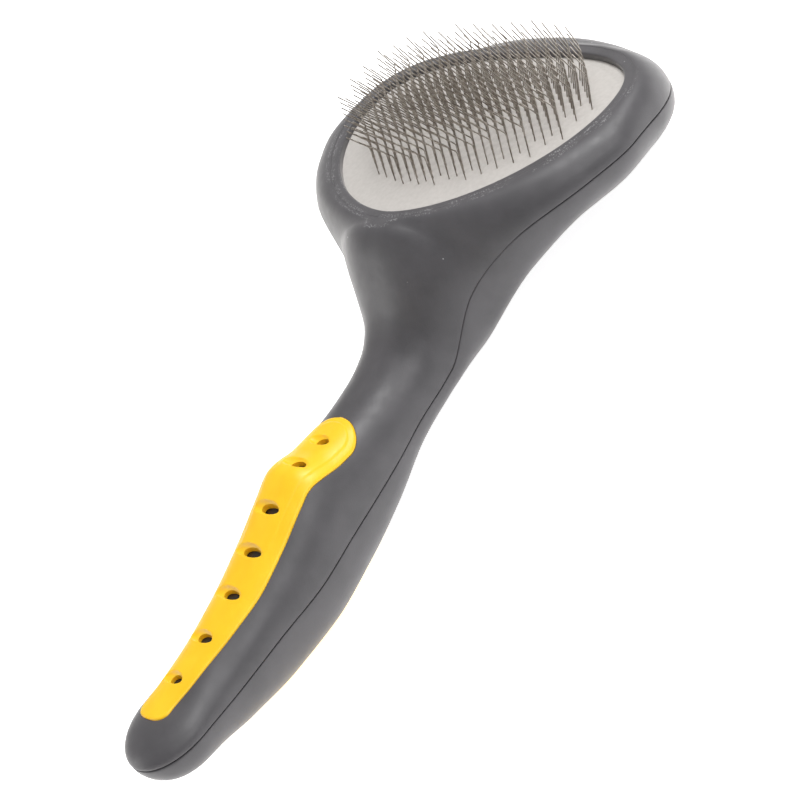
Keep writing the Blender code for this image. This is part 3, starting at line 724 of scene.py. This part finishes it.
def slot_cutters():
    """Oval columns that pierce the front grip at the bottom of each dimple."""
    cutters = []
    for number, (place, across, half_width, _) in enumerate(SLOTS):
        outline = []
        for k in range(SLOT_SIDES):
            angle = 2 * math.pi * (k + 0.5) / SLOT_SIDES
            outline.append((place + SLOT_HALF_LENGTH * math.cos(angle),
                            across + half_width * math.sin(angle)))
        middle = float(front_height(np.array([place]), np.array([across]))[0])
        cutters.append(prism(f"slot_{number}", outline, middle + SLOT_CUT, middle - SLOT_CUT))
    return cutters


def lip_mesh(name):
    """Ring that lines the opening: flat land, rounded lip and inner wall."""
    fillet = [(LIP_FILLET * (1 - math.sin(a)), -LIP_FILLET * (1 - math.cos(a)))
              for a in np.radians(np.arange(0, 91, 15))]
    profile = [(LIP_WIDTH, -LIP_CHAMFER), (LIP_WIDTH - LIP_CHAMFER, 0.0)]
    profile += [(LIP_WIDTH - LIP_WORN_WIDTH, 0.0), (LIP_LAND_INNER, 0.0)]
    profile += fillet
    profile += [(0.0, -LIP_WALL_MIDDLE), (0.0, -LIP_DEPTH), (LIP_WALL, -LIP_DEPTH)]
    profile += [(LIP_WALL, -LIP_UNDER_WALL), (LIP_WIDTH, -LIP_UNDER_SKIN)]
    angle = 2 * math.pi * (np.arange(LIP_STEPS) + 0.5) / LIP_STEPS
    rng = np.random.default_rng(WEAR_SEED)
    loops = []
    for number, (growth, z) in enumerate(profile):
        x, y = egg_point(angle, growth)
        near_side = ease((WEAR_END - x) / WEAR_FADE)
        rough = rng.uniform(-1.0, 1.0, len(angle)) * WEAR_DEPTH * near_side
        worn = 1.0 if number in WORN_LOOPS else 0.0
        loops.append(np.stack([x, y, np.full_like(x, z) - np.abs(rough) * worn], axis=-1))
    shell = Shell()
    numbers = shell.add(np.array(loops))
    shell.quads(np.vstack([numbers, numbers[:1]]), around=True)
    return shell.mesh(name)


def join_meshes(name, parts):
    """One mesh that holds several closed bodies."""
    shell = Shell()
    for part in parts:
        corners = np.zeros(len(part.vertices) * 3)
        part.vertices.foreach_get("co", corners)
        start = len(shell.points)
        shell.add(corners.reshape(-1, 3))
        for polygon in part.polygons:
            shell.faces.append([start + v for v in polygon.vertices])
    return shell.mesh(name)


def plate_mesh(name, growth, drop, thickness, counts, relief):
    """Egg-shaped domed plate whose upper face is raised by the relief."""
    rows, columns = counts
    along = -np.cos(np.pi * np.arange(1, rows) / rows)
    x_row = np.where(along < 0, along * (OPENING_NEAR + growth), along * (OPENING_FAR + growth))
    half = egg_half_width(x_row, growth)
    share = np.linspace(-1.0, 1.0, columns)
    x = np.repeat(x_row[:, None], columns, axis=1)
    y = half[:, None] * share[None, :]
    poles_x = np.array([-OPENING_NEAR - growth, OPENING_FAR + growth])
    poles_y = np.zeros(2)

    def level(px, py):
        return PAD_EDGE - drop + PAD_DOME * pad_dome(px, py)

    top = np.stack([x, y, level(x, y) + relief(x, y)], axis=-1)
    bottom = np.stack([x, y, level(x, y) - thickness], axis=-1)
    top_poles = np.stack([poles_x, poles_y, level(poles_x, poles_y)], axis=-1)
    bottom_poles = top_poles - np.array([0.0, 0.0, thickness])
    return closed_shell(name, top, bottom, top_poles, bottom_poles)


def pad_dome(x, y):
    """Share of the pad's full rise: 1 in the middle and 0 at its border."""
    share_x = np.where(x < 0, x / OPENING_NEAR, x / OPENING_FAR)
    fall = 1 - share_x ** 2 - (y / OPENING_HALF_WIDTH) ** 2
    return np.clip(fall, 0.0, 1.0) ** PAD_DOME_POWER


def pad_level(x, y):
    """Height of the pad's face at one place."""
    return float(PAD_EDGE + PAD_DOME * pad_dome(np.array([x]), np.array([y]))[0])


def inside_field(x, y):
    """Whether a place lies in the field of wires."""
    reach, power = FIELD_NEAR if x < 0 else FIELD_FAR
    return abs(x / reach) ** power + abs(y / FIELD_HALF_WIDTH) ** power <= 1.0


def row_staples(row):
    """Feet of the staples of one row, two (x, y) places for each, spread wider in later rows."""
    x = FIRST_ROW_X + ROW_SPACING * row
    spread = 1 + ROW_FAN * (row - EVEN_ROW)
    start = STAPLE_START + (row % STAGGERED_ROWS) * STAPLE_PITCH * STAPLE_STEP
    staples = []
    for k in range(-STAPLES_EACH_SIDE, STAPLES_EACH_SIDE + 1):
        y = start + k * STAPLE_PITCH
        first = (x + STAPLE_SLANT / 2, y * spread)
        second = (x - STAPLE_SLANT / 2, (y - STAPLE_LEG_SPACING) * spread)
        middle = ((first[0] + second[0]) / 2, (first[1] + second[1]) / 2)
        if inside_field(*middle):
            staples.append((first, second))
    return staples


def all_feet():
    """Every place where a wire pierces the pad's face."""
    return [foot for row in range(ROW_COUNT) for staple in row_staples(row) for foot in staple]


def pin_dimples(x, y):
    """Small dips in the pad's face where the wires pierce it."""
    depth = np.zeros_like(x)
    for foot_x, foot_y in all_feet():
        gap = (x - foot_x) ** 2 + (y - foot_y) ** 2
        depth += np.exp(-gap / PIN_DIMPLE_RADIUS ** 2)
    return -PIN_DIMPLE_DEPTH * np.minimum(depth, 1.0)


def splay(x, y):
    """Outward lean along the head, which grows towards the border of the field."""
    reach, _ = FIELD_NEAR if x < 0 else FIELD_FAR
    distance = math.hypot(x / reach, y / FIELD_HALF_WIDTH)
    slope = Vector((x / reach ** 2, y / FIELD_HALF_WIDTH ** 2))
    if slope.length < 1e-9:
        return 0.0
    return slope.normalized().x * SPLAY * distance ** SPLAY_POWER


def leaning(along, across, spread, jitter):
    """Way that half a leg goes for one unit of rise, a little off its nominal lean."""
    return Vector((along + jitter.gauss(0, spread), across + jitter.gauss(0, spread), 1))


def leg_path(foot, jitter):
    """Points of one leg from under the pad to its tip, with a rounded knee."""
    x, y = foot
    outward = splay(x, y)
    base = Vector((x, y, pad_level(x, y)))
    lower = leaning(LOWER_LEAN + outward, LOWER_FAN * y, LOWER_JITTER, jitter)
    upper = leaning(UPPER_LEAN + outward, UPPER_FAN * y, UPPER_JITTER, jitter)
    knee = base + lower * LOWER_RISE
    tip = knee + upper * UPPER_RISE * (1 + jitter.gauss(0, LENGTH_JITTER))
    lower.normalize()
    upper.normalize()
    buried = base - lower * CROWN_DEPTH
    bend = [knee - lower * BEND_LENGTH, knee + (upper - lower) * BEND_LENGTH * BEND_CUT,
            knee + upper * BEND_LENGTH]
    taper_start = tip - upper * WIRE_TAPER
    return [buried, base] + bend + [taper_start, tip]


def staple_path(staple, jitter):
    """Points from one tip down its leg, along the crown and up the other leg."""
    first = leg_path(staple[0], jitter)
    second = leg_path(staple[1], jitter)
    return list(reversed(first)) + second


def wire_rings(path):
    """Rings of points round a path, with thinner rings at its two ends."""
    rings = []
    side = Vector((0.0, 1.0, 0.0))
    for i, point in enumerate(path):
        before = path[max(i - 1, 0)]
        after = path[min(i + 1, len(path) - 1)]
        direction = (after - before).normalized()
        side = (side - direction * side.dot(direction)).normalized()
        other = direction.cross(side)
        radius = WIRE_RADIUS * (WIRE_END_SHARE if i in (0, len(path) - 1) else 1.0)
        ring = []
        for k in range(WIRE_SIDES):
            angle = 2 * math.pi * k / WIRE_SIDES
            ring.append(point + (side * math.cos(angle) + other * math.sin(angle)) * radius)
        rings.append(ring)
    return rings


def staples_mesh(name, row, jitter):
    """All the staples of one row."""
    shell = Shell()
    for staple in row_staples(row):
        numbers = shell.add(wire_rings(staple_path(staple, jitter)))
        shell.quads(numbers, around=True)
        shell.faces.append(numbers[0].tolist())
        shell.faces.append(numbers[-1][::-1].tolist())
    return shell.mesh(name)


class Nodes:
    """Short calls for wiring one material."""

    def __init__(self, name):
        self.material = bpy.data.materials.new(name)
        self.material.use_nodes = True
        self.tree = self.material.node_tree
        self.shader = self.tree.nodes["Principled BSDF"]
        self.place = self.tree.nodes.new("ShaderNodeTexCoord").outputs["Object"]

    def link(self, source, target):
        self.tree.links.new(source, target)

    def noise(self, scale, detail=3.0):
        node = self.tree.nodes.new("ShaderNodeTexNoise")
        node.inputs["Scale"].default_value = scale
        node.inputs["Detail"].default_value = detail
        node.inputs["Roughness"].default_value = 0.5
        self.link(self.place, node.inputs["Vector"])
        return node.outputs["Fac"]

    def ramp(self, value, low, high, to_low=0.0, to_high=1.0):
        """Maps values between low and high to the range to_low to to_high."""
        node = self.tree.nodes.new("ShaderNodeMapRange")
        node.inputs["From Min"].default_value = low
        node.inputs["From Max"].default_value = high
        node.inputs["To Min"].default_value = to_low
        node.inputs["To Max"].default_value = to_high
        self.link(value, node.inputs["Value"])
        return node.outputs["Result"]

    def multiply(self, first, second):
        node = self.tree.nodes.new("ShaderNodeMath")
        node.operation = "MULTIPLY"
        self.link(first, node.inputs[0])
        self.link(second, node.inputs[1])
        return node.outputs[0]

    def mix(self, factor, first, second):
        """Colour between two colours, each a socket or a tuple."""
        node = self.tree.nodes.new("ShaderNodeMix")
        node.data_type = "RGBA"
        self.link(factor, node.inputs["Factor"])
        for label, colour in (("A", first), ("B", second)):
            socket = [s for s in node.inputs if s.name == label and s.type == "RGBA"][0]
            if isinstance(colour, tuple):
                socket.default_value = (*colour, 1.0)
            else:
                self.link(colour, socket)
        return [s for s in node.outputs if s.type == "RGBA"][0]

    def specks(self, scale, size):
        """1 on small scattered dots and 0 elsewhere."""
        node = self.tree.nodes.new("ShaderNodeTexVoronoi")
        node.inputs["Scale"].default_value = scale
        self.link(self.place, node.inputs["Vector"])
        dots = self.ramp(node.outputs["Distance"], size * 0.6, size, 1.0, 0.0)
        chosen = self.ramp(self.noise(scale * 0.7, 1.0), 0.52, 0.60)
        return self.multiply(dots, chosen)

    def rim_wear_and_glint(self):
        """1 on scattered grains along the outer edge of the flat rim round the pad, which get a
        lighter colour that is partly wear and partly a painted highlight on the grains.
        """
        turn = self.tree.nodes.new("ShaderNodeMapping")
        turn.vector_type = "TEXTURE"
        turn.inputs["Location"].default_value = (REST_SHIFT, 0.0, REST_LIFT)
        turn.inputs["Rotation"].default_value = (0.0, REST_PITCH, 0.0)
        self.link(self.place, turn.inputs["Vector"])
        parts = self.tree.nodes.new("ShaderNodeSeparateXYZ")
        self.link(turn.outputs["Vector"], parts.inputs["Vector"])
        above = self.ramp(parts.outputs["Z"], *WEAR_AND_GLINT_BAND_BOTTOM)
        below = self.ramp(parts.outputs["Z"], *WEAR_AND_GLINT_BAND_TOP, 1.0, 0.0)
        near = self.ramp(parts.outputs["X"], *WEAR_AND_GLINT_BAND_END, 1.0, 0.0)
        grains = self.ramp(self.noise(2400.0, 2.0), 0.55, 0.60)
        patches = self.ramp(self.noise(130.0, 2.0), 0.40, 0.55)
        band = self.multiply(self.multiply(above, below), near)
        return self.multiply(band, self.multiply(grains, patches))

    def bump(self, value, distance):
        """Relief of the surface, given the height of its highest points."""
        node = self.tree.nodes.new("ShaderNodeBump")
        node.inputs["Strength"].default_value = 1.0
        node.inputs["Distance"].default_value = distance
        self.link(value, node.inputs["Height"])
        self.link(node.outputs["Normal"], self.shader.inputs["Normal"])

    def cloudy_colour(self, scale, detail, colours):
        """Colour that drifts between two colours in soft clouds."""
        cloud = self.ramp(self.noise(scale, detail), 0.35, 0.65)
        return self.mix(cloud, *colours)

    def colour(self, socket):
        self.link(socket, self.shader.inputs["Base Color"])

    def roughness(self, scale, detail, low, high):
        """Roughness that drifts between two values."""
        drift = self.ramp(self.noise(scale, detail), 0.3, 0.7, low, high)
        self.link(drift, self.shader.inputs["Roughness"])

    def uniform(self, values):
        """Sets inputs of the shader that are the same all over."""
        for name, value in values.items():
            self.shader.inputs[name].default_value = value


def soft_rubber(name, colours):
    """Matt moulded rubber with a fine grain, lighter grains on its rim that are partly wear and partly
    painted highlight, and a little dust.
    """
    nodes = Nodes(name)
    base = nodes.cloudy_colour(120.0, 4.0, colours)
    # Lighter grains along the rim: partly wear, partly painted highlight.
    base = nodes.mix(nodes.rim_wear_and_glint(), base, RIM_WEAR_AND_GLINT)
    nodes.colour(nodes.mix(nodes.specks(170.0, 0.035), base, RUBBER_DUST))
    nodes.roughness(350.0, 3.0, 0.42, 0.52)
    nodes.bump(nodes.noise(3200.0, 2.0), 0.00002)
    nodes.uniform({"Sheen Weight": 0.35, "Sheen Roughness": 0.4,
                   "Sheen Tint": (1.0, 0.97, 0.94, 1.0)})
    return nodes.material


def yellow_plastic(name, colours):
    """Satin moulded plastic."""
    nodes = Nodes(name)
    nodes.colour(nodes.cloudy_colour(160.0, 3.0, colours))
    nodes.roughness(500.0, 3.0, 0.33, 0.43)
    nodes.bump(nodes.noise(2600.0, 2.0), 0.000008)
    nodes.uniform({"Specular IOR Level": 0.35, "Subsurface Weight": 0.10,
                   "Subsurface Radius": (0.002, 0.001, 0.0004), "Subsurface Scale": 1.0})
    return nodes.material


def pad_rubber():
    """Pale rubber sheet with a very fine grain."""
    nodes = Nodes("pad_rubber")
    base = nodes.cloudy_colour(900.0, 5.0, PAD)
    nodes.colour(nodes.mix(nodes.specks(420.0, 0.06), base, PAD_DUST))
    nodes.roughness(600.0, 2.0, 0.62, 0.75)
    nodes.bump(nodes.noise(2800.0, 3.0), 0.00003)
    return nodes.material


def wire_steel():
    """Drawn steel wire, slightly tarnished."""
    nodes = Nodes("wire_steel")
    nodes.colour(nodes.cloudy_colour(700.0, 4.0, STEEL))
    nodes.roughness(1500.0, 2.0, 0.26, 0.42)
    nodes.uniform({"Metallic": 1.0})
    return nodes.material


def woven_cloth():
    """Plain weave under the rubber face."""
    nodes = Nodes("woven_cloth")
    waves = []
    for direction in ("X", "Y"):
        wave = nodes.tree.nodes.new("ShaderNodeTexWave")
        wave.bands_direction = direction
        wave.inputs["Scale"].default_value = 500.0
        nodes.link(nodes.place, wave.inputs["Vector"])
        waves.append(wave.outputs["Fac"])
    weave = nodes.multiply(*waves)
    nodes.colour(nodes.mix(weave, *CLOTH))
    nodes.roughness(800.0, 3.0, 0.8, 0.95)
    nodes.bump(weave, 0.0001)
    return nodes.material


def open_foam():
    """Foam with small open cells."""
    nodes = Nodes("open_foam")
    cells = nodes.tree.nodes.new("ShaderNodeTexVoronoi")
    cells.inputs["Scale"].default_value = 1800.0
    nodes.link(nodes.place, cells.inputs["Vector"])
    nodes.colour(nodes.mix(cells.outputs["Distance"], *FOAM))
    nodes.roughness(900.0, 3.0, 0.85, 1.0)
    nodes.bump(cells.outputs["Distance"], 0.0001)
    return nodes.material


def core_plastic(name, colours):
    """Hard moulded plastic with faint flow marks."""
    nodes = Nodes(name)
    nodes.colour(nodes.cloudy_colour(90.0, 5.0, colours))
    nodes.roughness(400.0, 3.0, 0.42, 0.58)
    nodes.bump(nodes.noise(2000.0), 0.00001)
    return nodes.material


def floor_paper():
    """White sheet that gives off light of its own, so that shadows on it stay faint."""
    nodes = Nodes("floor_paper")
    paper = nodes.mix(nodes.noise(6.0), *PAPER)
    nodes.colour(paper)
    nodes.link(paper, nodes.shader.inputs["Emission Color"])
    nodes.uniform({"Emission Strength": 1.05, "Roughness": 0.9})
    return nodes.material


def add_piece(name, data, finish, slot, *replaced):
    """New visible piece that stands for CAD nodes and rides on the root body."""
    data.materials.clear()
    data.materials.append(finish)
    piece = bpy.data.objects.new(name, data)
    bpy.context.scene.collection.objects.link(piece)
    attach(piece, "root")
    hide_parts(*replaced)
    return piece


def repaint(node, finish):
    """Gives a carried-over CAD node its finish."""
    node.data.materials.clear()
    node.data.materials.append(finish)


def opening_cutter():
    """Egg-shaped column just wider than the ring that lines the opening."""
    angle = 2 * math.pi * (np.arange(OPENING_STEPS) + 0.5) / OPENING_STEPS
    x, y = egg_point(angle, LIP_WIDTH + OPENING_CLEARANCE)
    return prism("opening", list(zip(x, y)), OPENING_CUT, -OPENING_CUT)


def recess_cutter(grip):
    """Column just wider than a grip, as deep as the body."""
    return prism("recess", grip.outline(GRIP_GAP, RECESS_STEPS), RECESS_TOP, RECESS_BOTTOM)


def add_skins():
    """Soft front with the ring that lines its opening, and soft back."""
    front = skin_mesh("soft_front", front_grid, 1.0)
    front = cut_mesh(front, [opening_cutter(), recess_cutter(FRONT_GRIP)])
    front = finish_mesh(join_meshes("soft_front", [front, lip_mesh("lip")]))
    rubber = soft_rubber("front_rubber", FRONT_RUBBER)
    add_piece("soft_front", front, rubber, "front_soft_rubber", "front_skin")
    back = skin_mesh("soft_back", back_grid, -1.0)
    back = finish_mesh(cut_mesh(back, [recess_cutter(BACK_GRIP)]))
    rubber = soft_rubber("back_rubber", BACK_RUBBER)
    add_piece("soft_back", back, rubber, "back_soft_rubber", "back_skin")


def add_grips():
    """Yellow inserts in the recesses of the two skins."""
    front = grip_mesh("front_grip", FRONT_GRIP, front_height, 1.0, FRONT_GRIP_STEPS,
                      front_relief)
    front = finish_mesh(cut_mesh(front, slot_cutters()))
    yellow = yellow_plastic("front_yellow", FRONT_YELLOW)
    add_piece("front_grip", front, yellow, "front_insert_yellow", "front_grip_insert")
    back = grip_mesh("back_grip", BACK_GRIP, back_height, -1.0, BACK_GRIP_STEPS, back_relief)
    yellow = yellow_plastic("back_yellow", BACK_YELLOW)
    add_piece("back_grip", finish_mesh(back), yellow, "back_insert_yellow", "back_grip_insert")


def add_pad():
    """Rubber face, cloth under it and foam cushion, one below the other."""
    def plain(x, y):
        return np.zeros_like(x)

    face = plate_mesh("pad_surface", LAYER_GROWTH, 0.0, PAD_FACE_THICKNESS, PAD_FACE_STEPS,
                      pin_dimples)
    surface = add_piece("pad_surface", finish_mesh(face), pad_rubber(), "pad_rubber", "pad_face")
    drop = PAD_FACE_THICKNESS + LAYER_GAP + PIN_DIMPLE_DEPTH
    weave = plate_mesh("pad_weave", LAYER_GROWTH, drop, WEAVE_THICKNESS, PAD_LAYER_STEPS,
                       plain)
    add_piece("pad_weave", finish_mesh(weave), woven_cloth(), "woven_foundation",
              "pad_foundation")
    drop += WEAVE_THICKNESS + LAYER_GAP
    foam = plate_mesh("pad_foam", LAYER_GROWTH, drop, FOAM_THICKNESS, PAD_LAYER_STEPS, plain)
    cushion = add_piece("pad_foam", finish_mesh(foam), open_foam(), "cushion_foam", "pad_cushion")


def add_staples():
    """One piece for each row of staples."""
    jitter = random.Random(WIRE_SEED)
    steel = wire_steel()
    for row in range(ROW_COUNT):
        data = staples_mesh(f"staples_{row + 1:02d}", row, jitter)
        data = finish_mesh(data, WIRE_SHARP_ANGLE)
        add_piece(data.name, data, steel, "pin_steel", f"pin_row_{row + 1:02d}")


def add_floor():
    """White sheet that the brush lies on."""
    signs = ((-1, -1), (1, -1), (1, 1), (-1, 1))
    corners = [(FLOOR_REACH * x, FLOOR_REACH * y, 0.0) for x, y in signs]
    data = bpy.data.meshes.new("floor")
    data.from_pydata(corners, [], [(0, 1, 2, 3)])
    data.materials.append(floor_paper())
    floor = bpy.data.objects.new("floor", data)
    bpy.context.scene.collection.objects.link(floor)


def add_light(name, place, target, size, power):
    data = bpy.data.lights.new(name, "AREA")
    data.shape = "DISK"
    data.size = size
    data.energy = power
    light = bpy.data.objects.new(name, data)
    light.location = place
    light.rotation_euler = (Vector(target) - Vector(place)).to_track_quat("-Z", "Y").to_euler()
    bpy.context.scene.collection.objects.link(light)


def add_studio():
    """White surroundings and the lights."""
    world = bpy.data.worlds.new("studio")
    world.use_nodes = True
    sky = world.node_tree.nodes["Background"]
    sky.inputs["Color"].default_value = (1.0, 1.0, 1.0, 1.0)
    sky.inputs["Strength"].default_value = SKY_STRENGTH
    bpy.context.scene.world = world
    for name, place, target, size, power in LIGHTS:
        add_light(name, place, target, size, power)
    bpy.context.scene.view_settings.view_transform = "Standard"


def add_camera():
    """Long lens above the side of the brush."""
    right = Vector(CAMERA_RIGHT)
    up = Vector(CAMERA_UP)
    turn = Matrix((right, up, right.cross(up))).transposed().to_4x4()
    data = bpy.data.cameras.new("camera")
    data.lens = CAMERA_LENS
    data.sensor_width = CAMERA_SENSOR
    data.clip_start = CAMERA_CLIP
    camera = bpy.data.objects.new("camera", data)
    camera.matrix_world = REST @ Matrix.Translation(CAMERA_PLACE) @ turn
    bpy.context.scene.collection.objects.link(camera)
    bpy.context.scene.camera = camera


def build():
    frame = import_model()
    nodes = frame["nodes"]
    # The front core's dark colour is painted shade for the insides of the front grip's slots.
    repaint(nodes["front_core"], core_plastic("front_core", FRONT_CORE_SHADED))
    repaint(nodes["back_core"], core_plastic("back_core", BACK_CORE))
    repaint(nodes["pad_tray"], core_plastic("tray", TRAY))
    add_skins()
    add_grips()
    add_pad()
    add_staples()
    add_floor()
    add_studio()
    add_camera()


build()
